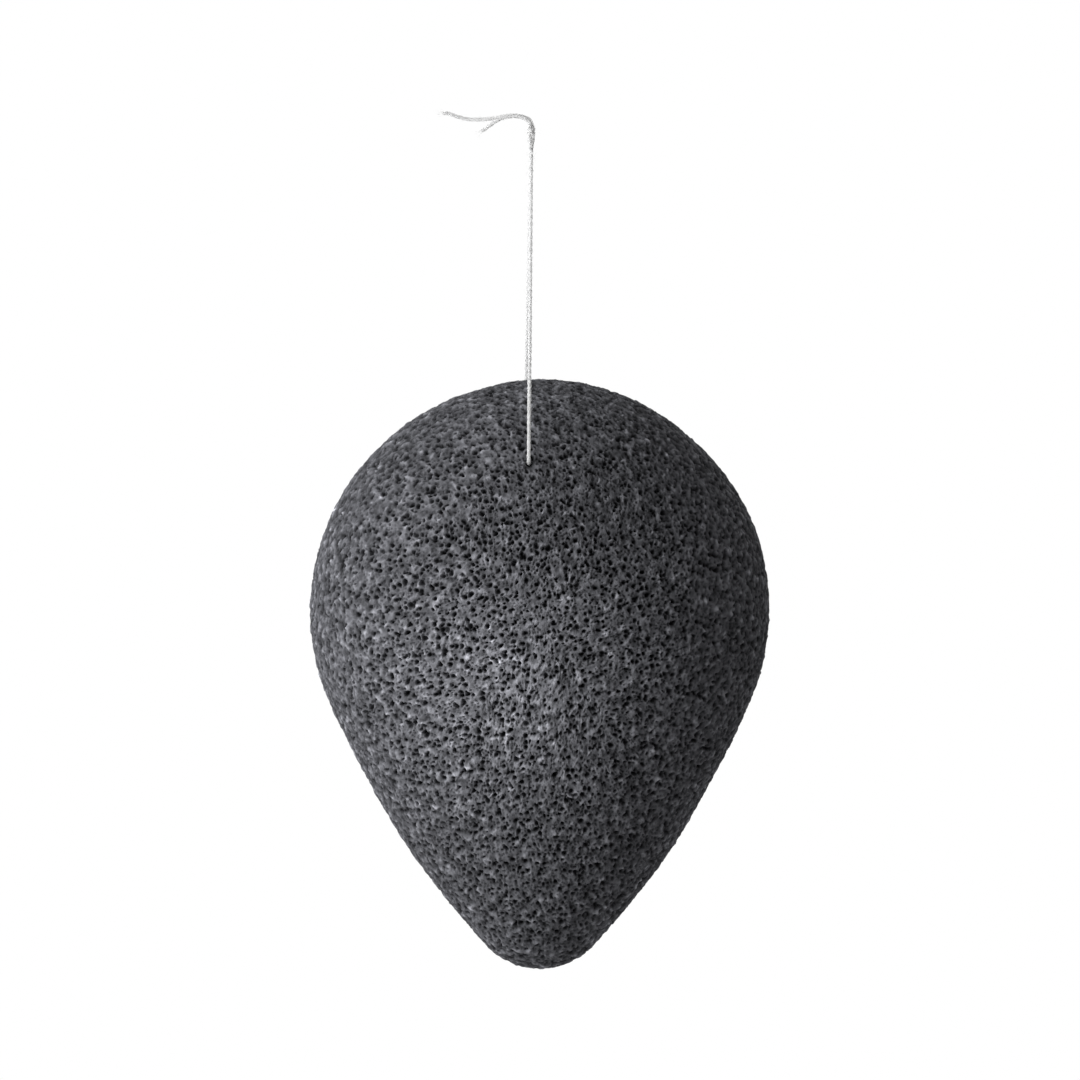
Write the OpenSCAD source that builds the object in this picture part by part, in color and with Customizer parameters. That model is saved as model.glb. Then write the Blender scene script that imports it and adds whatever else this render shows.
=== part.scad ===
// Konjac sponge: half a water drop of charcoal foam, domed in front and flat behind, that hangs from a
// loop of cotton thread. The thread goes through a channel near the round top and is knotted above it.
// Millimetres, +Z up, the dome faces -Y. The origin is the top of the open loop, just under the knot.

/* [Sponge] */
// Width across the round head
sponge_w = 80; // [60:1:100]
// Height from the round top to the tip
sponge_h = 102.3; // [90:0.1:125]
// Radius of the rounded tip
tip_r = 13.3; // [8:0.1:18]
// Radius of the long curve down each side
side_r = 150; // [130:5:400]
// Height of the dome in front of the widest outline
dome_t = 28; // [18:0.5:34]
// Thickness of the foam behind the widest outline
rim_t = 4; // [2:0.5:8]
// How far the rounding of the back edge draws the outline in
edge_in = 3.5; // [1:0.5:6]

/* [Channel] */
// Depth of the thread's channel below the round top
hole_drop = 14.8; // [10:0.1:22]
// Distance of the channel to the left of the sponge's middle line
hole_left = 1.9; // [0:0.1:5]
// Clearance round the thread in its channel
thread_play = 0.05; // [0.01:0.01:0.1]
// Radius of the mouth that the taut thread pulls into the foam
mouth_r = 1.3; // [1:0.1:2]
// Depth of that mouth
mouth_t = 1.5; // [1:0.1:3]

/* [Thread] */
// Thickness of the cotton thread
thread_d = 0.7; // [0.4:0.05:0.8]
// Side-by-side gap between the two strands above the loop
strand_gap = 0.04; // [0.02:0.01:0.1]
// Length of the neck, where both strands run together
neck_h = 2.6; // [1.5:0.1:6]
// Gap between the neck and the loop, in which the thread bends when the sponge swings
swing_gap = 0.5; // [0.5:0.05:1]
// Gap between the knot and the neck, in which the thread twists
twist_gap = 0.1; // [0.05:0.05:0.3]
// Width of the knot
knot_w = 1.4; // [1.1:0.05:2]
// Height of the knot
knot_h = 1.4; // [1.3:0.05:2]

/* [Hanging] */
// Height of the loop's top above the round top of the sponge
loop_h = 39.5; // [30:0.5:60]
// Distance of the sponge's middle line to the right of the knot
middle_x = 1.5; // [0:0.1:4]
// Distance of the widest outline behind the knot, which puts the centre of mass under it
middle_y = 8.4; // [4:0.1:14]

/* [Hidden] */

foam_colour = [0.27, 0.275, 0.29];
thread_colour = [0.93, 0.92, 0.89];

// Share of an evenly rounded dome in the depth, the rest follows the width as in a turned drop
round_share = 0.5;
// Steps round the half outline: on the head, the side curve and the tip
head_steps = 15;
side_steps = 6;
tip_steps = 6;
dome_steps = 11;
edge_steps = 4;
// A thread has this many sides, and a ring at least every so many diameters
thread_sides = 8;
ring_share = 3;
// Sides of a bore, rod or knot turn, and of the thread that a knot turn is made of
round_sides = 32;
turn_sides = 24;
// One overrun for all cuts
over = 1;

// The outline is three arcs a side that meet smoothly: head, long side curve and tip.
// Seen from the head's centre, (side_x, side_z) is the centre of the right side's curve.
head_r = sponge_w / 2;
tip_z = tip_r - (sponge_h - head_r);
side_z = ((side_r - tip_r) ^ 2 - (side_r - head_r) ^ 2 - tip_z ^ 2) / (-2 * tip_z);
side_x = -sqrt((side_r - head_r) ^ 2 - side_z ^ 2);
head_end = atan2(-side_z, -side_x);
tip_start = atan2(tip_z - side_z, -side_x);

// Directions in which the outline is sampled, from the top down its right side and up its left
right_angles = concat(
    [for (i = [0 : head_steps - 1]) 90 + (head_end - 90) * i / head_steps],
    [for (i = [0 : side_steps - 1]) head_end + (tip_start - head_end) * i / side_steps],
    [for (i = [0 : tip_steps]) tip_start + (-90 - tip_start) * i / tip_steps]);
angles = concat(right_angles, [for (i = [len(right_angles) - 2 : -1 : 1]) 180 - right_angles[i]]);
around = len(angles);

// Point of the outline whose outward direction is the angle a, drawn in by the given distance
function right_point(a, inward) =
    a >= head_end ? (head_r - inward) * [cos(a), sin(a)]
    : a >= tip_start ? [side_x, side_z] + (side_r - inward) * [cos(a), sin(a)]
    : [0, tip_z] + (tip_r - inward) * [cos(a), sin(a)];
function outline_point(a, inward) =
    a <= 90 ? right_point(a, inward) : let (p = right_point(180 - a, inward)) [-p[0], p[1]];

// Half the outline's width at a height z
head_end_z = head_r * sin(head_end);
tip_start_z = tip_z + tip_r * sin(tip_start);
function half_width(z) =
    z >= head_end_z ? sqrt(max(head_r ^ 2 - z ^ 2, 0))
    : z >= tip_start_z ? side_x + sqrt(side_r ^ 2 - (z - side_z) ^ 2)
    : sqrt(max(tip_r ^ 2 - (z - tip_z) ^ 2, 0));

// Depth of the dome over a point of the outline drawn in to the share s of its size
function dome_depth(p, s) =
    dome_t * (round_share * sqrt(max(1 - s ^ 2, 0))
              + (1 - round_share) * sqrt(max(half_width(p[1]) ^ 2 - p[0] ^ 2, 0)) / head_r);

// Rings of the foam's skin, from the front of the dome over the widest outline to the flat back
dome_rings = [for (i = [1 : dome_steps - 1]) let (s = sin(90 * i / dome_steps))
    [for (a = angles) let (p = s * outline_point(a, 0)) [p[0], -dome_depth(p, s), p[1]]]];
edge_rings = [for (i = [0 : edge_steps]) let (t = 90 * i / edge_steps)
    [for (a = angles) let (p = outline_point(a, edge_in * (1 - cos(t)))) [p[0], rim_t * sin(t), p[1]]]];
skin_rings = concat(dome_rings, edge_rings);

// Triangles between ring after ring of n points, and the two fans that close the ends
function band_faces(rings, n, first) =
    [for (k = [0 : rings - 2], i = [0 : n - 1]) let (
        a = first + k * n + i, b = first + k * n + (i + 1) % n, c = b + n, d = a + n)
        each [[a, c, b], [a, d, c]]];
function fan_faces(centre, start, n, flip) =
    [for (i = [0 : n - 1]) let (a = start + i, b = start + (i + 1) % n)
        flip ? [centre, b, a] : [centre, a, b]];

module foam_skin() {
    count = len(skin_rings);
    last = count * around + 1;
    points = concat([[0, -dome_t, 0]], [for (ring = skin_rings) each ring], [[0, rim_t, 0]]);
    faces = concat(fan_faces(0, 1, around, false), band_faces(count, around, 1),
                   fan_faces(last, 1 + (count - 1) * around, around, true));
    polyhedron(points, faces);
}

// The head's centre, and the channel's place, both in the part's own frame
head_z = -loop_h - head_r;
channel_x = middle_x - hole_left;
channel_z = -loop_h - hole_drop;
channel_r = thread_d / 2 + thread_play;
back_y = middle_y + rim_t;
mouth_up = head_r - hole_drop;
front_y = middle_y - dome_t * sqrt(1 - (mouth_up ^ 2 + hole_left ^ 2) / head_r ^ 2);

// Bore along +Y from y0 to y1 with a mouth at each end, open past the foam
module thread_bore(y0, y1) {
    translate([channel_x, y0 - over, channel_z]) rotate([-90, 0, 0])
        cylinder(r = channel_r, h = y1 - y0 + 2 * over, $fn = round_sides);
    mouth_slope = (mouth_r - channel_r) / mouth_t;
    mouth_over_r = mouth_r + over * mouth_slope;
    translate([channel_x, y0 + mouth_t, channel_z]) rotate([90, 0, 0])
        cylinder(r1 = channel_r, r2 = mouth_over_r, h = mouth_t + over, $fn = round_sides);
    translate([channel_x, y1 - mouth_t, channel_z]) rotate([-90, 0, 0])
        cylinder(r1 = channel_r, r2 = mouth_over_r, h = mouth_t + over, $fn = round_sides);
}

module sponge_body() {
    color(foam_colour) difference() {
        translate([middle_x, middle_y, head_z]) foam_skin();
        thread_bore(front_y, back_y);
    }
}

// Routes of the thread, chosen by hand: out of the front mouth and taut up to the loop's top,
front_route = [
    [-0.4, -12, -54.3], [-0.4, -12.65, -54.15], [-0.4, -13.2, -53.75], [-0.4, -13.45, -53.1],
    [-0.39, -13.43, -52.3], [-0.37, -12.85, -50], [-0.36, -12.35, -48], [-0.33, -11.35, -44],
    [-0.3, -10.35, -40], [-0.27, -9.35, -36], [-0.24, -8.35, -32], [-0.21, -7.35, -28],
    [-0.18, -6.35, -24], [-0.15, -5.35, -20], [-0.12, -4.35, -16], [-0.09, -3.35, -12],
    [-0.06, -2.35, -8], [-0.03, -1.35, -4], [0, -0.41, -0.25]];
// out of the back mouth, up the flat back, over its rounded edge and taut up to the loop's top,
back_route = [
    [-0.4, 11.5, -54.3], [-0.4, 12.15, -54.15], [-0.42, 12.65, -53.75], [-0.44, 12.95, -53.15],
    [-0.48, 13.1, -52.4], [-0.55, 13.1, -50], [-0.7, 13.1, -47], [-0.85, 13.1, -44.5],
    [-0.9, 13.02, -43], [-0.88, 12.7, -41.4], [-0.83, 12, -39], [-0.76, 11.1, -36],
    [-0.68, 9.9, -32], [-0.59, 8.7, -28], [-0.51, 7.5, -24], [-0.42, 6.3, -20],
    [-0.34, 5.1, -16], [-0.25, 3.9, -12], [-0.17, 2.7, -8], [-0.08, 1.5, -4], [0, 0.41, -0.25]];
// and from the knot, the two cut ends, which bend over to the left
long_route = [
    [0.1, 0.35, 3.9], [0.12, 0.36, 4.3], [-0.1, 0.4, 4.95], [-0.8, 0.45, 5.55], [-2, 0.5, 5.9],
    [-3.5, 0.55, 5.98], [-5, 0.6, 5.8], [-7, 0.7, 5.45], [-9, 0.8, 5.3], [-11, 0.9, 5.37],
    [-12.8, 0.9, 5.8], [-14.2, 0.8, 6.3], [-15.3, 0.7, 6.4]];
short_route = [
    [-0.1, -0.35, 3.9], [-0.1, -0.36, 4.3], [-0.35, -0.4, 4.85], [-1, -0.4, 5.4],
    [-2.1, -0.4, 5.75], [-3.4, -0.4, 5.8], [-4.8, -0.45, 5.55], [-6.2, -0.5, 4.9],
    [-7.4, -0.55, 4.05], [-8.6, -0.6, 3.15]];

// Catmull-Rom curve through a route, with extra points where its own are far apart
function curve_point(a, b, c, d, t) =
    b + t * ((c - a) / 2 + t * (a - 2.5 * b + 2 * c - d / 2 + t * ((d - a) / 2 + 1.5 * (b - c))));
function smooth(route) = let (last = len(route) - 1) concat(
    [for (i = [0 : last - 1]) let (
        a = route[max(i - 1, 0)], b = route[i], c = route[i + 1], d = route[min(i + 2, last)],
        n = ceil(norm(c - b) / (ring_share * thread_d)))
        each [for (j = [0 : n - 1]) curve_point(a, b, c, d, j / n)]],
    [route[last]]);

function unit(v) = v / norm(v);
function heading(path, i) = unit(path[min(i + 1, len(path) - 1)] - path[max(i - 1, 0)]);

// Ring round one point of a path, square to the heading, turned the same way as the others
function ring(centre, along, side, r) = let (u = unit(cross(along, side)), v = cross(along, u))
    [for (k = [0 : thread_sides - 1]) let (a = 360 * (k + 0.5) / thread_sides)
        centre + r * (cos(a) * u + sin(a) * v)];

// Thread swept along a path. A sideways direction that the path never takes keeps its rings from
// turning, and the first and last rings face the ways given, so that they meet what is there.
module thread(path, side, start_along, end_along) {
    last = len(path) - 1;
    rings = [for (i = [0 : last]) ring(path[i],
        i == 0 ? start_along : i == last ? end_along : heading(path, i), side, thread_d / 2)];
    points = concat([path[0]], [for (r = rings) each r], [path[last]]);
    n = thread_sides;
    faces = concat(fan_faces(0, 1, n, false), band_faces(last + 1, n, 1),
                   fan_faces(len(points) - 1, 1 + last * n, n, true));
    polyhedron(points, faces);
}

up = [0, 0, 1];

module string_front_run() {
    color(thread_colour) thread(smooth(front_route), [1, 0, 0], [0, -1, 0], up);
}

module string_back_run() {
    color(thread_colour) thread(smooth(back_route), [1, 0, 0], [0, 1, 0], up);
}

// The stretch inside the foam is a plain round rod, on which the sponge can turn
module string_channel_run() {
    start_y = front_route[0][1];
    color(thread_colour) translate([channel_x, start_y, channel_z]) rotate([-90, 0, 0])
        cylinder(d = thread_d, h = back_route[0][1] - start_y, $fn = round_sides);
}

// Both strands side by side, with a quarter of a turn between the loop and the knot
neck_steps = 3;
neck_turn = 90;
neck_bottom = swing_gap / 2;
module string_neck() {
    offset_r = (thread_d + strand_gap) / 2;
    for (turn = [0, 180])
        color(thread_colour) thread(
            [for (i = [0 : neck_steps]) let (t = i / neck_steps, a = turn + neck_turn * (1 - t))
                [offset_r * cos(a), offset_r * sin(a), neck_bottom + neck_h * t]],
            [1, 0, 0], up, up);
}

// Two tight turns round the strands, crossed a little, with the strands' core inside
knot_bottom = neck_bottom + neck_h + twist_gap;
turn_d_share = 0.9;
turn_tilt = 9;
module string_knot() {
    turn_d = turn_d_share * thread_d;
    turn_r = (knot_w - turn_d) / 2;
    rise = turn_d / 2 + turn_r * sin(turn_tilt);
    core_inset = turn_d / 4;
    color(thread_colour) union() {
        for (turn = [-1, 1])
            translate([0, 0, knot_bottom + (turn < 0 ? rise : knot_h - rise)])
                rotate([0, turn * turn_tilt, 0]) rotate_extrude($fn = round_sides)
                    translate([turn_r, 0]) circle(d = turn_d, $fn = turn_sides);
        translate([0, 0, knot_bottom + core_inset])
            cylinder(r = turn_r, h = knot_h - 2 * core_inset, $fn = round_sides);
    }
}

// A cut end, square to the way its last stretch runs
module thread_tail(path) {
    color(thread_colour) thread(path, [0, 1, 0], up, heading(path, len(path) - 1));
}

module string_tail_long() {
    thread_tail(smooth(long_route));
}

module string_tail_short() {
    thread_tail(smooth(short_route));
}

sponge_body();
string_front_run();
string_channel_run();
string_back_run();
string_neck();
string_knot();
string_tail_long();
string_tail_short();
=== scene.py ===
import math

import bpy
import numpy as np
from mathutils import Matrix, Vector


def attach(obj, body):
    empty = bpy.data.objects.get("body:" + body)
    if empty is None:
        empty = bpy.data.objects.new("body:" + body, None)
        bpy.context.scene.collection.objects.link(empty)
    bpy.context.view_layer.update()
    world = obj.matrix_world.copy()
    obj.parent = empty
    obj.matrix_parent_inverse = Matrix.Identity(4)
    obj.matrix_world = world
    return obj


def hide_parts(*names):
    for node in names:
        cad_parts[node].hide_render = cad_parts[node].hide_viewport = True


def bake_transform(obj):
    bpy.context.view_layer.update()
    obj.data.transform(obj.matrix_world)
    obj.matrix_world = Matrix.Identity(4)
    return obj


# Konjac sponge on its thread loop. The frame is in metres, these settings are in millimetres.
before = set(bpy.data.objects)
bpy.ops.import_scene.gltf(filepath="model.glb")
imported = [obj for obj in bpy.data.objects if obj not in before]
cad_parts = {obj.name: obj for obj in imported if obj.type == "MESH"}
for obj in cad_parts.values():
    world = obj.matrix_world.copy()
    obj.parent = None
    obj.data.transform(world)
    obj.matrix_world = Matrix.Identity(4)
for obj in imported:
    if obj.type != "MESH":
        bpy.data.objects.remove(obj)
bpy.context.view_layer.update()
mm = 0.001
scene = bpy.context.scene
scene.view_settings.view_transform = "Standard"


cameraLook = {
    "lens": 350, "frameWidth": 36,
    "pictureWidth": 187.4,     # what the picture spans in the plane of the widest outline
    "middle": (1.52, 8.4, -67.35),
    "nearest": 10, "farthest": 20000,
}


# A long lens that looks along +Y, as far off as makes the picture's width fill the frame
def makeCamera(s):
    data = bpy.data.cameras.new("camera")
    data.lens, data.sensor_width = s["lens"], s["frameWidth"]
    data.clip_start, data.clip_end = s["nearest"] * mm, s["farthest"] * mm
    camera = bpy.data.objects.new("camera", data)
    scene.collection.objects.link(camera)
    away = s["pictureWidth"] * s["lens"] / s["frameWidth"]
    x, y, z = s["middle"]
    camera.location = (x * mm, (y - away) * mm, z * mm)
    camera.rotation_euler = (math.pi / 2, 0, 0)
    scene.camera = camera


makeCamera(cameraLook)
print("camera placed")


# Vectors divided by their own lengths
def unit(v):
    return v / np.maximum(np.linalg.norm(v, axis=-1, keepdims=True), 1e-12)


# Square root, or 0 for what is below 0
def rootOf(v):
    return np.sqrt(np.maximum(v, 0))


# Curve through given points: between each two a Catmull-Rom cubic, whose slope at a point is
# half the way from the point before to the point after. It is evened out to equal steps of length,
# four or more, and the length up to each step comes with it
def smoothPath(route, step, fineness=40):
    p = np.array(route, float)
    p = np.vstack([2 * p[0] - p[1], p, 2 * p[-1] - p[-2]])
    a, b, c, d = p[:-3, None], p[1:-2, None], p[2:-1, None], p[3:, None]
    t = np.linspace(0, 1, fineness, endpoint=False)[None, :, None]
    squared, cubed = a - 2.5 * b + 2 * c - d / 2, (d - a) / 2 + 1.5 * (b - c)
    fine = b + t * ((c - a) / 2 + t * (squared + t * cubed))
    fine = np.vstack([fine.reshape(-1, 3), p[-2]])
    run = np.concatenate([[0], np.cumsum(np.linalg.norm(np.diff(fine, axis=0), axis=1))])
    even = np.linspace(0, run[-1], max(int(round(run[-1] / step)), 4) + 1)
    return np.stack([np.interp(even, run, fine[:, k]) for k in range(3)], axis=1), even


# Sum of a path's steps
def lengthOf(path):
    return float(np.linalg.norm(np.diff(path, axis=0), axis=1).sum())


# Quads between ring after ring of n points
def bandQuads(rings, n):
    k, i = np.meshgrid(np.arange(rings - 1), np.arange(n), indexing="ij")
    a, b = k * n + i, k * n + (i + 1) % n
    return np.stack([a, b, b + n, a + n], axis=-1).reshape(-1, 4)


# Triangles from a centre to a ring of n points
def ringFan(centre, start, n):
    i = np.arange(n)
    return np.stack([np.full(n, centre), start + i, start + (i + 1) % n], axis=1)


# A mesh from points in millimetres and quads or triangles, with a map of its own for each corner
def makeMesh(name, points, faces, cornerMap=None):
    mesh = bpy.data.meshes.new(name)
    faces = [np.asarray(f, np.int32) for f in faces]
    sizes = np.concatenate([np.full(len(f), f.shape[1], np.int32) for f in faces])
    starts = np.concatenate([[0], np.cumsum(sizes)[:-1]]).astype(np.int32)
    corners = np.concatenate([f.ravel() for f in faces])
    mesh.vertices.add(len(points))
    mesh.vertices.foreach_set("co", (np.asarray(points) * mm).astype(np.float32).ravel())
    mesh.loops.add(len(corners))
    mesh.loops.foreach_set("vertex_index", corners)
    mesh.polygons.add(len(sizes))
    mesh.polygons.foreach_set("loop_start", starts)
    mesh.update(calc_edges=True)
    mesh.polygons.foreach_set("use_smooth", np.ones(len(sizes), bool))
    if cornerMap is not None:
        layer = mesh.uv_layers.new(name="OFBake")
        layer.data.foreach_set("uv", np.asarray(cornerMap, np.float32).ravel())
    mesh.validate()
    piece = bpy.data.objects.new(name, mesh)
    scene.collection.objects.link(piece)
    return piece


# Large primes and shifts that mix whole numbers until nothing of their order is left
mixPrimes = [np.uint32(prime) for prime in (374761393, 668265263, 2246822519, 3266489917)]
mixShifts = [np.uint32(shift) for shift in (15, 13, 16)]


# Even random numbers from 0 to 1 for whole-numbered cells, the same on every run: the cell's three
# numbers times a prime each, then shifted onto themselves and multiplied again
def hashed(cells, seed):
    with np.errstate(over="ignore"):
        c = cells.astype(np.int64).astype(np.uint32)
        h = c[..., 0] * mixPrimes[0] + c[..., 1] * mixPrimes[1] + c[..., 2] * mixPrimes[2]
        h = h + np.uint32(seed * int(mixPrimes[3]) % 2**32)
        for shift, prime in zip(mixShifts, mixPrimes[2:]):
            h = (h ^ (h >> shift)) * prime
        return (h ^ (h >> mixShifts[2])).astype(np.float64) / 2**32


# Noise from a cubic lattice: the values that a function gives for each corner and the way from it,
# eased together
def latticeNoise(points, size, valueAt):
    q = points / size
    base = np.floor(q)
    f = q - base
    ease = f * f * (3 - 2 * f)
    total = np.zeros(points.shape[:-1])
    for corner in np.ndindex(2, 2, 2):
        k = np.array(corner)
        weight = np.prod(np.where(k == 1, ease, 1 - ease), axis=-1)
        total += weight * valueAt(base + k, f - k)
    return total


# Smooth noise from -1 to 1: each corner of the lattice has a random value
def softNoise(points, size, seed):
    return latticeNoise(points, size, lambda cell, way: hashed(cell, seed)) * 2 - 1


# Noise round 0 without broad patches: each corner of the lattice has a random slope instead
def grainNoise(points, size, seed):
    def slopeValue(cell, way):
        slope = np.stack([hashed(cell, seed + own) for own in (100, 200, 300)], axis=-1) * 2 - 1
        return (slope * way).sum(-1)
    return latticeNoise(points, size, slopeValue)


# Routes as in the part's source, but without the gaps that its joints need
threadRoutes = {
    "front": [
        (-0.4, -12, -54.3), (-0.4, -12.65, -54.15), (-0.4, -13.2, -53.75), (-0.4, -13.45, -53.1),
        (-0.39, -13.43, -52.3), (-0.37, -12.85, -50), (-0.36, -12.35, -48), (-0.33, -11.35, -44),
        (-0.3, -10.35, -40), (-0.27, -9.35, -36), (-0.24, -8.35, -32), (-0.21, -7.35, -28),
        (-0.18, -6.35, -24), (-0.15, -5.35, -20), (-0.12, -4.35, -16), (-0.09, -3.35, -12),
        (-0.06, -2.35, -8), (-0.03, -1.35, -4), (0, -0.42, -0.4), (0, -0.37, 0.25)],
    "back": [
        (-0.4, 11.5, -54.3), (-0.4, 12.1, -54.15), (-0.42, 12.55, -53.75), (-0.44, 12.8, -53.15),
        (-0.48, 12.9, -52.4), (-0.55, 12.88, -50), (-0.7, 12.87, -47), (-0.85, 12.87, -44.5),
        (-0.9, 12.84, -43), (-0.88, 12.62, -41.4), (-0.83, 12, -39), (-0.76, 11.1, -36),
        (-0.68, 9.9, -32), (-0.59, 8.7, -28), (-0.51, 7.5, -24), (-0.42, 6.3, -20),
        (-0.34, 5.1, -16), (-0.25, 3.9, -12), (-0.17, 2.7, -8), (-0.08, 1.5, -4),
        (0, 0.42, -0.4), (0, 0.37, 0.25)],
    "long": [
        (0.1, 0.35, 3.7), (0.12, 0.36, 4.3), (-0.1, 0.4, 4.95), (-0.8, 0.45, 5.55), (-2, 0.5, 5.9),
        (-3.5, 0.55, 5.98), (-5, 0.6, 5.8), (-7, 0.7, 5.45), (-9, 0.8, 5.3), (-11, 0.9, 5.37),
        (-12.8, 0.9, 5.8), (-14.2, 0.8, 6.3), (-15.3, 0.7, 6.4)],
    "short": [
        (-0.1, -0.35, 3.7), (-0.1, -0.36, 4.3), (-0.35, -0.4, 4.85), (-1, -0.4, 5.4),
        (-2.1, -0.4, 5.75), (-3.4, -0.4, 5.8), (-4.8, -0.45, 5.55), (-6.2, -0.5, 4.9),
        (-7.4, -0.55, 4.05), (-8.6, -0.6, 3.15)],
}
threadRoutes["channel"] = np.linspace(threadRoutes["front"][0], threadRoutes["back"][0], 9)
thread = {
    "thickness": 0.7,
    "plies": 3,
    "plyShare": 0.6,           # radius of one ply, as a share of the thread's own
    "pitch": 3.6,              # length in which the plies go round once
    "around": 24,              # points round the thread
    "step": 0.16,              # length between rings
    "wear": {"size": 1.3, "share": 0.05, "slice": 7, "seed": 5},      # how uneven its thickness is
    "cut": {"length": 0.35, "share": 0.35},      # a cut end draws in to this share of its thickness
    "fibreWidth": 0.028,
    "fibreTaper": 0.75,        # share of the width that is lost on the way to a fibre's end
    "fibreLength": (0.5, 1.6),
    "fibreCurl": 0.8,
    "fibresPerMm": 1.5,
    # Fibres along the thread and at its cut ends: from which share of the length on they leave, how
    # deep they start, as a share of the thickness, and how far they lean out
    "stray": {"depth": 0.3, "lean": (0.25, 1.0)},
    "frayed": {"from": 0.97, "depth": 0.2, "lean": (0.05, 0.5), "seed": 50},
}


# Distance from the axis to the skin of plies laid side by side, in the direction turned by the
# given angle: the outline of equal circles that touch the thread's own circle from inside
def plyRadius(angle, s):
    r = s["thickness"] / 2
    ply = r * s["plyShare"]
    sector = 2 * math.pi / s["plies"]
    off = (angle + sector / 2) % sector - sector / 2
    centre = r - ply
    return centre * np.cos(off) + rootOf(ply**2 - (centre * np.sin(off)) ** 2)


# Rings square to the path, with the same side of each ring kept towards the sideways direction
def ringAxes(path, sideways):
    along = unit(np.gradient(path, axis=0))
    u = unit(np.cross(along, np.asarray(sideways, float)))
    return along, u, np.cross(along, u)


# Twisted thread along a path: every ring is the plies' outline, turned a little further each
# step, drawn in to a blunt point at an end that is cut
def twistedTube(path, run, sideways, s, cutEnd=False, scale=1.0, start=0.0):
    _, u, v = ringAxes(path, sideways)
    rings, n = len(path), s["around"]
    angle = np.arange(n) * 2 * math.pi / n
    turn = 2 * math.pi * (run + start) / s["pitch"]
    radius = plyRadius(angle[None, :] - turn[:, None], s) * scale
    wear, cut = s["wear"], s["cut"]
    place = np.stack([run, run * 0, run * 0 + wear["slice"]], axis=1)
    radius = radius * (1 + wear["share"] * softNoise(place, wear["size"], wear["seed"])[:, None])
    if cutEnd:
        left = np.clip((run[-1] - run) / cut["length"], 0, 1)[:, None]
        radius = radius * (cut["share"] + (1 - cut["share"]) * np.sqrt(left))
    points = path[:, None] + radius[..., None] * (
        np.cos(angle)[None, :, None] * u[:, None] + np.sin(angle)[None, :, None] * v[:, None])
    points = np.vstack([points.reshape(-1, 3), path[0], path[-1]])
    caps = np.vstack([ringFan(rings * n, 0, n)[:, [0, 2, 1]],
                      ringFan(rings * n + 1, (rings - 1) * n, n)])
    return points, bandQuads(rings, n), caps


# Stray fibres, each a thin three-sided hair of five rings that leaves the thread at a slant and
# curls; laid out for all fibres at once
def strayFibres(path, run, sideways, s, seed, count=None, atEnd=False):
    rng = np.random.default_rng(seed)
    kind = s["frayed"] if atEnd else s["stray"]
    count = int(run[-1] * s["fibresPerMm"]) if count is None else count
    along, u, v = ringAxes(path, sideways)
    place = rng.integers(1, len(path) - 1, count)
    if atEnd:
        place = rng.integers(int(len(path) * kind["from"]), len(path), count)
    angle = rng.uniform(0, 2 * math.pi, count)
    onward = (rng.random(count) < 0.5) | atEnd
    length = rng.uniform(*s["fibreLength"], count)
    lean = rng.uniform(*kind["lean"], count)
    curl = rng.uniform(-s["fibreCurl"], s["fibreCurl"], count)

    rings, sides = 5, 3
    t = np.linspace(0, 1, rings)[None, :, None]
    out = np.cos(angle)[:, None] * u[place] + np.sin(angle)[:, None] * v[place]
    way = along[place] * np.where(onward, 1, -1)[:, None]
    side = np.cross(out, way)
    base = path[place] + out * s["thickness"] * kind["depth"]
    reach = length[:, None, None] * t
    outward = reach * lean[:, None, None] * out[:, None] * (1 - t / 2)
    aside = reach * t * curl[:, None, None] * side[:, None]
    middle = base[:, None] + reach * way[:, None] + outward + aside
    heading = unit(np.gradient(middle, axis=1))
    p = unit(np.cross(heading, np.broadcast_to(side[:, None], heading.shape) + 1e-3))
    q = np.cross(heading, p)
    width = s["fibreWidth"] / 2 * (1 - s["fibreTaper"] * t)
    corner = (np.arange(sides) * 2 * math.pi / sides)[:, None]
    points = middle[:, :, None] + width[..., None] * (
        np.cos(corner) * p[:, :, None] + np.sin(corner) * q[:, :, None])
    first = np.arange(count)[:, None] * rings * sides
    quads = (bandQuads(rings, sides)[None] + first[:, None]).reshape(-1, 4)
    caps = np.vstack([first + [2, 1, 0], first + (rings - 1) * sides + [0, 1, 2]])
    return points.reshape(-1, 3), quads, caps


# Several point-and-face sets as one piece
def joined(name, parts):
    points, quads, caps, first = [], [], [], 0
    for p, q, c in parts:
        points.append(p)
        quads.append(q + first)
        caps.append(c + first)
        first += len(p)
    return makeMesh(name, np.vstack(points), [np.vstack(quads), np.vstack(caps)])


# A thread along a route: the twisted tube and its stray fibres. One that is frayed is cut at its
# end, with that many fibres more. Its path comes with it
def makeThread(name, route, sideways, seed, frayed=0):
    path, run = smoothPath(route, thread["step"])
    parts = [twistedTube(path, run, sideways, thread, frayed > 0),
             strayFibres(path, run, sideways, thread, seed)]
    if frayed:
        fraySeed = seed + thread["frayed"]["seed"]
        parts.append(strayFibres(path, run, sideways, thread, fraySeed, frayed, True))
    return joined(name, parts), path


frontRun, frontPath = makeThread("thread_front_run", threadRoutes["front"], (1, 0, 0), 11)
backRun, backPath = makeThread("thread_back_run", threadRoutes["back"], (1, 0, 0), 12)
channelRun, _ = makeThread("thread_channel_run", threadRoutes["channel"], (1, 0, 0), 13)

# The neck: both strands side by side, a quarter of a turn from the loop up to the knot. Each strand
# has its side of the neck, in degrees, and where its plies' twist starts, in millimetres
neck = {
    "low": 0.25, "high": 3.05, "apart": 0.74, "turn": 90, "points": 9,
    "strands": [{"side": 0, "start": 0.0, "seed": 20}, {"side": 180, "start": 0.6, "seed": 200}],
}


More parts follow.
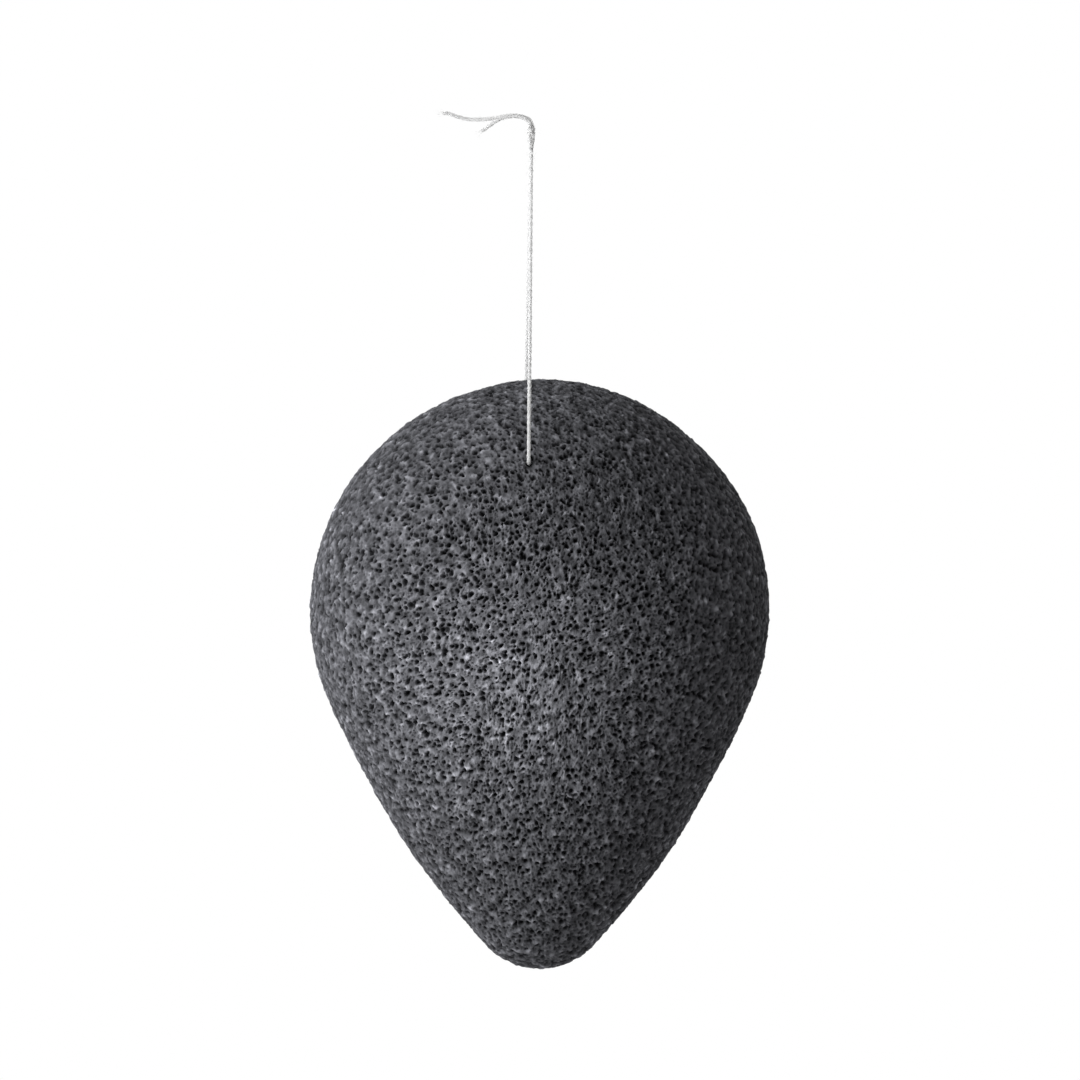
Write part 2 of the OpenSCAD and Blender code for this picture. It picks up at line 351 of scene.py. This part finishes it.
# Two twisted tubes round the neck's axis, each a helix of half the distance between the strands
def makeNeck(s):
    t = np.linspace(0, 1, s["points"])
    z = s["low"] + (s["high"] - s["low"]) * t
    parts = []
    for strand in s["strands"]:
        a = np.radians(strand["side"] + s["turn"] * (1 - t))
        route = np.stack([s["apart"] / 2 * np.cos(a), s["apart"] / 2 * np.sin(a), z], axis=1)
        path, run = smoothPath(route, thread["step"])
        parts.append(twistedTube(path, run, (1, 0, 0), thread, start=strand["start"]))
        parts.append(strayFibres(path, run, (1, 0, 0), thread, strand["seed"]))
    return joined("thread_neck", parts)


threadNeck = makeNeck(neck)

# The knot: one thread laid in two crossing turns round the strands, pulled tight
knot = {
    "low": 2.95, "high": 4.35, "width": 1.42,
    "turns": 2.3, "points": 60,
    "start": -2.2,             # angle at which the turns start, in radians
    "inset": 0.1,              # from the turns to the knot's lower and upper end
    "tilt": 0.16,              # how far the turns rise and fall on their way round
    "tuck": {"from": 0.9, "share": 0.35},      # the last of it goes in under the turns
    "threadShare": 0.86, "coreShare": 1.25,      # thickness of the turns and of the core
    "core": [(0, 0, 3.07), (0.02, 0, 3.3), (0, 0.03, 3.7), (0.02, 0, 4.25)],
    "sideways": (0, 0.05, 1),
    "step": 0.1,
    "cell": 0.035,             # of the skin that is put round it all
    "fibres": 14, "seed": 31,
}


# One closed skin round parts that run into each other, from cells of the given size. It is worked
# out on a copy that is a thousand times as large
def oneSkin(parts, cell):
    copy = joined("copy", [(p / mm, q, c) for p, q, c in parts])
    skin = copy.modifiers.new("skin", "REMESH")
    skin.mode, skin.voxel_size = "VOXEL", cell
    mesh = copy.evaluated_get(bpy.context.evaluated_depsgraph_get()).to_mesh()
    points, corners = np.empty(len(mesh.vertices) * 3), np.empty(len(mesh.loops), np.int32)
    mesh.vertices.foreach_get("co", points)
    mesh.loops.foreach_get("vertex_index", corners)
    bpy.data.objects.remove(copy)
    return points.reshape(-1, 3), corners.reshape(-1, 4), np.zeros((0, 3), np.int32)


# A helix that tilts one way at the bottom and the other way at the top, round a straight core
def makeKnot(s):
    tube, tuck = thread["thickness"] * s["threadShare"], s["tuck"]
    t = np.linspace(0, 1, s["points"])
    angle = 2 * math.pi * s["turns"] * t + s["start"]
    tucked = np.clip((t - tuck["from"]) / (1 - tuck["from"]), 0, 1)
    radius = (s["width"] - tube) / 2 * (1 - tuck["share"] * tucked)
    low, high = s["low"] + tube / 2 + s["inset"], s["high"] - tube / 2 - s["inset"]
    z = low + (high - low) * t + s["tilt"] * np.sin(angle) * np.cos(math.pi * t)
    route = np.stack([radius * np.cos(angle), radius * np.sin(angle), z], axis=1)
    path, run = smoothPath(route, s["step"])
    wrap = twistedTube(path, run, s["sideways"], thread, scale=s["threadShare"])
    corePath, coreRun = smoothPath(s["core"], s["step"])
    core = twistedTube(corePath, coreRun, (1, 0, 0), thread, scale=s["coreShare"])
    fuzz = strayFibres(path, run, s["sideways"], thread, s["seed"], s["fibres"])
    return joined("thread_knot", [oneSkin([wrap, core], s["cell"]), fuzz])


threadKnot = makeKnot(knot)
tailLong, _ = makeThread("thread_tail_long", threadRoutes["long"], (0, 1, 0), 41, 16)
tailShort, _ = makeThread("thread_tail_short", threadRoutes["short"], (0, 1, 0), 42, 12)

for piece, nodes in (
        (frontRun, ["string_front_run"]), (backRun, ["string_back_run"]),
        (channelRun, ["string_channel_run"]), (threadNeck, ["string_neck"]),
        (threadKnot, ["string_knot"]), (tailLong, ["string_tail_long"]),
        (tailShort, ["string_tail_short"])):
    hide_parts(*nodes)
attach(channelRun, "loop")
for piece in (threadKnot, tailLong, tailShort):
    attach(piece, "tied_end")
for piece in (frontRun, backRun):
    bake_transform(piece)
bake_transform(threadNeck)
print("thread made:", round(lengthOf(frontPath) + lengthOf(backPath), 1), "mm in its two free runs")


foam = {
    "width": 80, "height": 102.3, "tipRadius": 13.3, "sideRadius": 150,
    "dome": 28, "roundShare": 0.5,
    "rim": 4, "edge": 3.5,
    "edgeShare": 0.25,                 # share of the way in over which the back's edge is rounded
    "middle": (1.5, 8.4, -79.5),       # centre of the round head, in the widest outline's plane
    "core": 340,                       # mesh cells across the middle of the front and of the back
    "frontBand": 230, "backBand": 110,      # rings of cells from there to the outline
    "outlineSteps": 24001, "directions": 192, "samples": 600,      # how finely it is measured
    # Middles of the front and of the back on the flat map, and how far each reaches from there
    "frontMap": (0.25, 0.5), "backMap": (0.75, 0.5), "mapReach": (0.245, 0.495),
    "raised": 0.1,                     # what the skin is raised by to make up for its pores
    # Where the thread goes in: place, radius, depth and slope of the funnel, and the bore in it
    "mouths": {"x": -0.4, "z": -54.3, "wide": 1.3, "deep": 1.5, "slope": 1.5,
               "bore": 0.45, "boreDeep": 3},
    # Pores of each size, open at the skin: spacing of the lattice they are scattered from, radii,
    # depth, how steep their walls are (less is steeper) and how much painted shade darkens them
    # inside
    "pores": [
        {"spacing": 1.02, "radii": (0.24, 0.52), "deep": 1.1, "wall": 0.9, "poreShade": 1.7, "seed": 3},
        {"spacing": 0.56, "radii": (0.18, 0.34), "deep": 0.32, "wall": 1, "poreShade": 0.7, "seed": 8},
    ],
    "warp": {"size": 0.75, "reach": 0.22, "seed": 41},      # how far they are bent out of round
    # Size, height and seed of the skin's swells and of the small ones between the pores, the grain
    "swells": [(14, 0.22, 21), (3.6, 0.06, 22)],
    "grain": [(1.25, 0.28, 23), (0.74, 0.16, 24), (0.4, 0.05, 25)],
    # The grain's tone by height is partly the foam's own paler struts and partly painted light on
    # the crests and painted shade in the hollows
    "grainShadeAndTone": 4.7,                  # how much lighter a millimetre of height makes the grain
    "flecks": {"size": 0.9, "above": 0.14, "tone": 2.2, "seed": 47},      # pale struts among it
    # On the sides, where the skin is seen at a slant, the grain's tones, with their painted light
    # and shade, are stronger by this share and the pores' painted shade reaches nearer to their
    # rims
    "sideGrainShade": 0.45, "sidePoreShade": 0.7,
    # Painted light and painted shade on the dome's front, from the middle of the head: where it is
    # painted paler and where darker
    "paintedLightAndShade": [
        {"x": -14, "z": -10, "reach": 27, "tone": 0.45},
        {"x": -3, "z": -15, "reach": 17, "tone": 0.42},
        {"x": 10, "z": 19, "reach": 12, "tone": -0.33},
    ],
}


# The outline is a head arc, a long side arc and a tip arc a side, which meet smoothly. The side
# arc's centre is where its distances from both other centres are the differences of their radii,
# and heights count from the head's centre
class Outline:
    def __init__(self, s):
        self.head = s["width"] / 2
        self.tip, self.side = s["tipRadius"], s["sideRadius"]
        self.tipZ = self.tip - (s["height"] - self.head)
        toTip, toHead = self.side - self.tip, self.side - self.head
        self.sideZ = (toTip**2 - toHead**2 - self.tipZ**2) / (-2 * self.tipZ)
        self.sideX = -math.sqrt(toHead**2 - self.sideZ**2)
        self.headEnd = math.atan2(-self.sideZ, -self.sideX)
        self.tipStart = math.atan2(self.tipZ - self.sideZ, -self.sideX)
        self.headEndZ = self.head * math.sin(self.headEnd)
        self.tipStartZ = self.tipZ + self.tip * math.sin(self.tipStart)
        angle = np.radians(np.linspace(-90, 270, s["outlineSteps"]))
        x, z = self.point(angle, 0)
        run = np.concatenate([[0], np.cumsum(np.hypot(np.diff(x), np.diff(z)))])
        self.runTable, self.angleTable = run / run[-1], angle

    # The point with the outward direction at an angle, drawn in by a distance
    def point(self, angle, inward):
        mirrored = angle > math.pi / 2
        a = np.where(mirrored, math.pi - angle, angle)
        c, s = np.cos(a), np.sin(a)
        onHead, onSide = a >= self.headEnd, a >= self.tipStart
        x = np.where(onHead, (self.head - inward) * c, np.where(
            onSide, self.sideX + (self.side - inward) * c, (self.tip - inward) * c))
        z = np.where(onHead, (self.head - inward) * s, np.where(
            onSide, self.sideZ + (self.side - inward) * s, self.tipZ + (self.tip - inward) * s))
        return np.where(mirrored, -x, x), z

    # Half the width at a height, from the arc that is there
    def halfWidth(self, z):
        return np.where(z >= self.headEndZ, rootOf(self.head**2 - z**2), np.where(
            z >= self.tipStartZ, self.sideX + rootOf(self.side**2 - (z - self.sideZ) ** 2),
            rootOf(self.tip**2 - (z - self.tipZ) ** 2)))

    # Outward direction at a share of the way round, from the tip
    def angleAt(self, share):
        return np.interp(share % 1, self.runTable, self.angleTable)


outline = Outline(foam)


# Front: the outline shrunk to a share of its size, as deep as one share of an even dome and the
# rest of a turned drop of the same width there
def frontPoint(angle, share, s):
    x, z = outline.point(angle, 0)
    x, z = x * share, z * share
    even = rootOf(1 - share**2)
    turned = rootOf(outline.halfWidth(z) ** 2 - x**2) / outline.head
    depth = s["dome"] * (s["roundShare"] * even + (1 - s["roundShare"]) * turned)
    return np.stack([x, -depth, z], axis=-1)


# Back: a quarter turn of rounding drawn in from the outline, then flat to the middle
def backPoint(angle, share, s):
    out = 1 - share
    turn = np.clip(out / s["edgeShare"], 0, 1) * math.pi / 2
    flat = np.clip((out - s["edgeShare"]) / (1 - s["edgeShare"]), 0, 1)
    x, z = outline.point(angle, s["edge"] * (1 - np.cos(turn)))
    x, y, z = np.broadcast_arrays(x * (1 - flat), s["rim"] * np.sin(turn), z * (1 - flat))
    return np.stack([x, y, z], axis=-1)


# Shares at which each direction's line from the middle to the outline is cut into equal lengths
def evenShares(pointAt, rings, s):
    directions = s["directions"]
    way = outline.angleAt(np.arange(directions) / directions)
    share = np.linspace(0, 1, s["samples"])
    if pointAt is frontPoint:
        share = np.sin(share * math.pi / 2)      # closer together where the dome is steep
    line = pointAt(way[:, None], share[None, :], s)
    run = np.cumsum(np.linalg.norm(np.diff(line, axis=1), axis=-1), axis=1)
    run = np.concatenate([np.zeros((directions, 1)), run], axis=1)
    steps = np.linspace(0, 1, rings + 1)
    return np.array([np.interp(steps * r[-1], r, share) for r in run])


# A square grid bent into a disc: rings of the square become rings of the disc, and a step along
# a ring is a step round the outline
def coreGrid(cells):
    half = cells // 2
    i, j = np.meshgrid(np.arange(cells + 1) - half, np.arange(cells + 1) - half, indexing="ij")
    ring = np.maximum(abs(i), abs(j))
    wide = abs(i) >= abs(j)
    lead = np.where(wide, i, j).astype(float)
    ratio = np.where(wide, j, i) / np.where(lead == 0, 1, lead)
    angle = np.where(wide, ratio * math.pi / 4, math.pi / 2 - ratio * math.pi / 4)
    angle = angle + np.where(lead < 0, math.pi, 0)
    return ring, (angle + math.pi / 2) / (2 * math.pi) % 1, np.stack([i, j], axis=-1) / half


# The outermost entries of a grid, once round
def onceRound(grid):
    return np.concatenate([grid[-1, :-1], grid[:0:-1, -1], grid[0, :0:-1], grid[:-1, 0]])


# Quads between the neighbours of a grid of points
def quadsOf(ids):
    corners = [ids[:-1, :-1], ids[1:, :-1], ids[1:, 1:], ids[:-1, 1:]]
    return np.stack(corners, axis=-1).reshape(-1, 4)


# One side of the foam: the core's grid and a band of rings round it, all as long out as across.
# Its points, its faces, its flat map, and the number of points of its rim, which come last
def makeSheet(pointAt, band, s):
    ring, share, flat = coreGrid(s["core"])
    half = s["core"] // 2
    ids = np.arange(ring.size).reshape(ring.shape)
    around = 4 * s["core"]
    bandRing = np.repeat(half + 1 + np.arange(band), around)
    bandIds = ring.size + np.arange(band * around).reshape(band, around)
    loops = np.vstack([onceRound(ids), bandIds])
    faces = np.vstack([quadsOf(ids), quadsOf(np.hstack([loops, loops[:, :1]]))])
    share = np.concatenate([share.ravel(), np.tile(onceRound(share), band)])
    out = half + band
    flat = np.concatenate([flat.reshape(-1, 2) * half / out,
                           np.tile(onceRound(flat), (band, 1)) * bandRing[:, None] / out])
    ring = np.concatenate([ring.ravel(), bandRing])
    table = evenShares(pointAt, out, s)
    place = share * len(table)
    low = np.floor(place).astype(int) % len(table)
    mix = place - np.floor(place)
    shrink = table[low, ring] * (1 - mix) + table[(low + 1) % len(table), ring] * mix
    return pointAt(outline.angleAt(share), shrink, s), faces, flat, around


# Outward direction at each point: the sum of the products of its quads' diagonals
def pointNormals(points, faces):
    a, b, c, d = (points[faces[:, k]] for k in range(4))
    across = np.cross(c - a, d - b)
    total = [np.bincount(faces.ravel(), np.repeat(across[:, k], 4)) for k in range(3)]
    return unit(np.stack(total, axis=1))


# How deep each point lies in pores scattered from a lattice, as a share of the deepest: each cell
# has one round pore at a random place and of a random radius
def scatteredPores(points, p):
    cell = np.floor(points / p["spacing"])
    deepest = np.zeros(len(points))
    low, high = p["radii"]
    for step in np.ndindex(3, 3, 3):
        c = cell + np.array(step) - 1
        stray = np.stack([hashed(c, p["seed"] + k) for k in (1, 2, 3)], axis=-1)
        centre = (c + stray) * p["spacing"]
        radius = low + (high - low) * hashed(c, p["seed"] + 4)
        share = 1 - ((centre - points) ** 2).sum(-1) / radius**2
        deepest = np.maximum(deepest, share)
    return deepest ** p["wall"]


# The foam's skin from even points and their outward directions: moved outwards by the grain and
# inwards by pores and swells, then drawn in at the two mouths. Its shade is e to the power of the
# grain's tones, partly painted light and shade, of the pores' and mouths' painted shade, of the
# flecks and of the painted light and shade patches
def foamSkin(p, n, s):
    warp, flecks, m = s["warp"], s["flecks"], s["mouths"]
    bend = np.stack([softNoise(p, warp["size"], warp["seed"] + k) for k in (1, 2, 3)], axis=-1)
    warped = p + bend * warp["reach"]
    # Where the skin is seen at a slant, the painted shade of grain and pores is made stronger
    side = 1 - abs(n[:, 1])
    lift, tone = np.zeros(len(p)), np.zeros(len(p))
    # The grain's tones: partly paler struts, partly painted light on crests and painted shade in
    # hollows
    for size, height, seed in s["grain"]:
        grain = grainNoise(warped, size, seed) * height
        lift, tone = lift + grain, tone + grain * s["grainShadeAndTone"] * (1 + s["sideGrainShade"] * side)
    # Painted light and painted shade: broad patches on the dome's front made paler or darker
    for paintedPatch in s["paintedLightAndShade"]:
        off = np.hypot(p[:, 0] - paintedPatch["x"], p[:, 2] - paintedPatch["z"]) / paintedPatch["reach"]
        tone += paintedPatch["tone"] * np.exp(-(off**2)) * (n[:, 1] < 0)
    strut = grainNoise(warped, flecks["size"], flecks["seed"]) - flecks["above"]
    tone += flecks["tone"] * np.maximum(strut, 0)
    # Painted shade inside the pores, darkest at their middles
    for pore in s["pores"]:
        inside = scatteredPores(warped, pore)
        lift = lift - inside * pore["deep"]
        tone = tone - pore["poreShade"] * inside ** (1 - s["sidePoreShade"] * side)
    for size, height, seed in s["swells"]:
        lift = lift + (softNoise(p, size, seed) - 1) * height
    moved = p + n * (lift + s["raised"])[:, None]
    mouthX, mouthZ = m["x"] - s["middle"][0], m["z"] - s["middle"][2]
    away = np.hypot(moved[:, 0] - mouthX, moved[:, 2] - mouthZ)
    funnel = m["deep"] * np.clip(1 - away / m["wide"], 0, 1) ** m["slope"]
    funnel = np.maximum(funnel, np.where(away < m["bore"], m["boreDeep"], 0))
    moved[:, 1] -= np.sign(n[:, 1]) * funnel
    # The funnel's depth also darkens the shade: painted shade in the two mouths
    return moved, np.exp(tone - funnel)


# Front and back sheets sewn together along the outline, whose points they share
def makeFoam(s):
    front, frontFaces, frontMap, around = makeSheet(frontPoint, s["frontBand"], s)
    back, backFaces, backMap, _ = makeSheet(backPoint, s["backBand"], s)
    own = len(back) - around                 # the rim's points are the front's
    rim = len(front) - around
    backIds = np.where(backFaces < own, backFaces + len(front), backFaces - own + rim)
    faces = np.vstack([frontFaces, backIds[:, ::-1]])
    points = np.vstack([front, back[:own]])
    skin, shade = foamSkin(points, pointNormals(points, faces), s)
    frontMap = np.array(s["frontMap"]) + frontMap * s["mapReach"]
    backMap = np.array(s["backMap"]) + backMap * s["mapReach"]
    cornerMap = np.vstack([frontMap[frontFaces.ravel()], backMap[backFaces[:, ::-1].ravel()]])
    piece = makeMesh("foam_body", skin + np.array(s["middle"]), [faces], cornerMap)
    layer = piece.data.attributes.new("shade", "FLOAT", "POINT")
    layer.data.foreach_set("value", shade.astype(np.float32))
    return piece


foamBody = makeFoam(foam)
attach(foamBody, "sponge")
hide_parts("sponge_body")
print("foam made:", len(foamBody.data.polygons), "faces")


# Fills a node's sockets, each from another node's output or with a fixed value
def feed(tree, node, given):
    for socket, value in given.items():
        if isinstance(value, bpy.types.NodeSocket):
            tree.links.new(value, node.inputs[socket])
        else:
            node.inputs[socket].default_value = value


# A shader node of a kind, with its own settings, fed with what is given
def newNode(tree, kind, given, **settings):
    node = tree.nodes.new("ShaderNode" + kind)
    for name, value in settings.items():
        setattr(node, name, value)
    feed(tree, node, given)
    return node


# A material with its node tree and its shader
def newMaterial(name):
    material = bpy.data.materials.new(name)
    material.use_nodes = True
    return material, material.node_tree, material.node_tree.nodes["Principled BSDF"]


# Soft mottling used by both finishes: two sizes of noise on Object coordinates, as a tone round 1
def mottleGroup():
    group = bpy.data.node_groups.new("mottle", "ShaderNodeTree")
    for name in ("Coarse", "Fine", "Amount"):
        group.interface.new_socket(name, in_out="INPUT", socket_type="NodeSocketFloat")
    group.interface.new_socket("Tone", in_out="OUTPUT", socket_type="NodeSocketFloat")
    given, out = group.nodes.new("NodeGroupInput"), group.nodes.new("NodeGroupOutput")
    place = newNode(group, "TexCoord", {}).outputs["Object"]
    noises = {}
    for socket, name in enumerate(("Coarse", "Fine")):
        noise = newNode(group, "TexNoise", {
            "Vector": place, "Scale": given.outputs[name], "Detail": 3})
        noises[socket] = noise.outputs["Fac"]
    both = newNode(group, "Math", noises, operation="ADD")
    centred = newNode(group, "Math", {0: both.outputs[0], 1: 1}, operation="SUBTRACT")
    scaled = newNode(group, "Math", {0: centred.outputs[0], 1: given.outputs["Amount"], 2: 1},
                     operation="MULTIPLY_ADD")
    feed(group, out, {"Tone": scaled.outputs[0]})
    return group


mottle = mottleGroup()


# A colour times a tone
def scaledColour(tree, colour, tone):
    scaled = newNode(tree, "VectorMath", {0: colour, "Scale": tone}, operation="SCALE")
    return scaled.outputs["Vector"]


# A colour times the mottling's tone
def mottled(tree, colour, mottling):
    group = newNode(tree, "Group", mottling, node_tree=mottle)
    return scaledColour(tree, colour, group.outputs["Tone"])


foamLook = {
    "colour": (0.1125, 0.1132, 0.1229),    # between the pores, at the grain's middle height
    "mottling": {"Coarse": 350, "Fine": 1600, "Amount": 0.9},
    "grainScale": 3200, "bump": 0.00006,
    "shader": {"Roughness": 0.85, "Specular IOR Level": 0.1},
}


# Charcoal foam: the mottled colour times the skin's shade, with a fine cellular bump
def makeFoamMaterial(s):
    material, tree, shader = newMaterial("charcoalFoam")
    colour = mottled(tree, s["colour"], s["mottling"])
    shade = newNode(tree, "Attribute", {}, attribute_name="shade")
    colour = scaledColour(tree, colour, shade.outputs["Fac"])
    place = newNode(tree, "TexCoord", {}).outputs["Object"]
    grain = newNode(tree, "TexVoronoi", {"Vector": place, "Scale": s["grainScale"]})
    bump = newNode(tree, "Bump", {"Height": grain.outputs["Distance"], "Distance": s["bump"]})
    feed(tree, shader, {"Base Color": colour, "Normal": bump.outputs["Normal"]})
    feed(tree, shader, s["shader"])
    return material


threadLook = {
    "colour": (0.88, 0.875, 0.86),
    "mottling": {"Coarse": 900, "Fine": 4000, "Amount": 0.15},
    "fibreScale": (9000, 9000, 1600), "bump": 0.00002,
    "shader": {"Roughness": 0.75, "Specular IOR Level": 0.3, "Sheen Weight": 0.15,
               "Subsurface Weight": 1, "Subsurface Radius": (1, 1, 1), "Subsurface Scale": 0.0016},
}


# White cotton that light goes through, with a bump of noise drawn out along Z as fibres
def makeThreadMaterial(s):
    material, tree, shader = newMaterial("cottonThread")
    colour = mottled(tree, s["colour"], s["mottling"])
    place = newNode(tree, "TexCoord", {}).outputs["Object"]
    stretch = newNode(tree, "Mapping", {"Vector": place, "Scale": s["fibreScale"]})
    fibres = newNode(tree, "TexNoise", {"Vector": stretch.outputs["Vector"], "Scale": 1})
    bump = newNode(tree, "Bump", {"Height": fibres.outputs["Fac"], "Distance": s["bump"]})
    feed(tree, shader, {"Base Color": colour, "Normal": bump.outputs["Normal"]})
    feed(tree, shader, s["shader"])
    return material


foamBody.data.materials.append(makeFoamMaterial(foamLook))
cotton = makeThreadMaterial(threadLook)
for piece in (frontRun, backRun, channelRun, threadNeck, threadKnot, tailLong, tailShort):
    piece.data.materials.append(cotton)
print("finishes made")


studio = {
    "ambient": 0.02,
    "target": (0, 8, -75),     # what the lamps point at
    "lamps": [                 # name, place, width and height, watts, colour
        ("key", (-500, -280, 90), (400, 300), 3.5, (0.985, 0.99, 1.0)),
        ("fill", (20, -405, 355), (600, 400), 0.85, (1.0, 1.0, 1.0)),
        ("edge", (385, 375, 170), (400, 400), 0.6, (1.0, 0.99, 0.97)),
        ("back", (0, 620, -60), (600, 600), 3.0, (1.0, 1.0, 1.0)),
    ],
    "floorZ": -300, "floorRadius": 750, "floorRings": 24, "floorSpokes": 96,
    "floorFade": (0.35, 0.8),      # shares of its radius between which it turns white
    "floorShader": {"Base Color": (0.8, 0.8, 0.8, 1), "Roughness": 0.9, "Specular IOR Level": 0.1},
}
white = {"Color": (1, 1, 1, 1), "Strength": 1}


# A soft rectangular lamp that the camera can't see, turned to look at the target
def makeLamp(name, place, size, watts, colour, target):
    data = bpy.data.lights.new(name, "AREA")
    data.shape = "RECTANGLE"
    data.size, data.size_y = size[0] * mm, size[1] * mm
    data.energy, data.color = watts, colour
    lamp = bpy.data.objects.new(name, data)
    lamp.visible_camera = False
    scene.collection.objects.link(lamp)
    lamp.location = Vector(place) * mm
    lamp.rotation_euler = (Vector(target) * mm - lamp.location).to_track_quat("-Z", "Y").to_euler()


# 1 for the rays that see the white background, those of the camera, of gloss and of glass, else 0
def backgroundRays(tree):
    rays = newNode(tree, "LightPath", {})
    total = rays.outputs["Is Camera Ray"]
    for name in ("Is Glossy Ray", "Is Transmission Ray"):
        both = newNode(tree, "Math", {0: total, 1: rays.outputs[name]}, operation="MAXIMUM")
        total = both.outputs[0]
    return total


# A little light from all round, with a white background for the rays that see it
def makeWorld(s):
    world = bpy.data.worlds.new("studio")
    scene.world = world
    world.use_nodes = True
    tree = world.node_tree
    light = tree.nodes["Background"]
    feed(tree, light, {"Color": white["Color"], "Strength": s["ambient"]})
    seen = newNode(tree, "Background", white)
    mix = newNode(tree, "MixShader", {
        0: backgroundRays(tree), 1: light.outputs[0], 2: seen.outputs[0]})
    feed(tree, tree.nodes["World Output"], {"Surface": mix.outputs[0]})


# A round floor well under the hanging sponge, which fades into the white round it
def makeFloor(s):
    rings, spokes = s["floorRings"], s["floorSpokes"]
    r = np.linspace(0, s["floorRadius"], rings + 1)[1:, None]
    a = np.arange(spokes) * 2 * math.pi / spokes
    x, y, z = np.broadcast_arrays(r * np.cos(a), r * np.sin(a), float(s["floorZ"]))
    points = np.vstack([np.stack([x, y, z], axis=-1).reshape(-1, 3), [[0, 0, s["floorZ"]]]])
    faces = [bandQuads(rings, spokes)[:, ::-1], ringFan(rings * spokes, 0, spokes)]
    floor = makeMesh("floor", points, faces)
    material, tree, shader = newMaterial("paleFloor")
    feed(tree, shader, s["floorShader"])
    place = newNode(tree, "TexCoord", {}).outputs["Object"]
    flat = newNode(tree, "VectorMath", {0: place, 1: (1, 1, 0)}, operation="MULTIPLY")
    far = newNode(tree, "VectorMath", {0: flat.outputs["Vector"]}, operation="LENGTH")
    near, full = (s["floorRadius"] * share * mm for share in s["floorFade"])
    fade = newNode(tree, "MapRange", {
        "Value": far.outputs["Value"], "From Min": near, "From Max": full},
        interpolation_type="SMOOTHSTEP")
    seen = newNode(tree, "Math", {0: fade.outputs["Result"], 1: backgroundRays(tree)},
                   operation="MULTIPLY")
    glow = newNode(tree, "Emission", white)
    mix = newNode(tree, "MixShader", {0: seen.outputs[0], 1: shader.outputs[0], 2: glow.outputs[0]})
    feed(tree, tree.nodes["Material Output"], {"Surface": mix.outputs[0]})
    floor.data.materials.append(material)


makeWorld(studio)
makeFloor(studio)
for lamp in studio["lamps"]:
    makeLamp(*lamp, studio["target"])
print("studio lit")
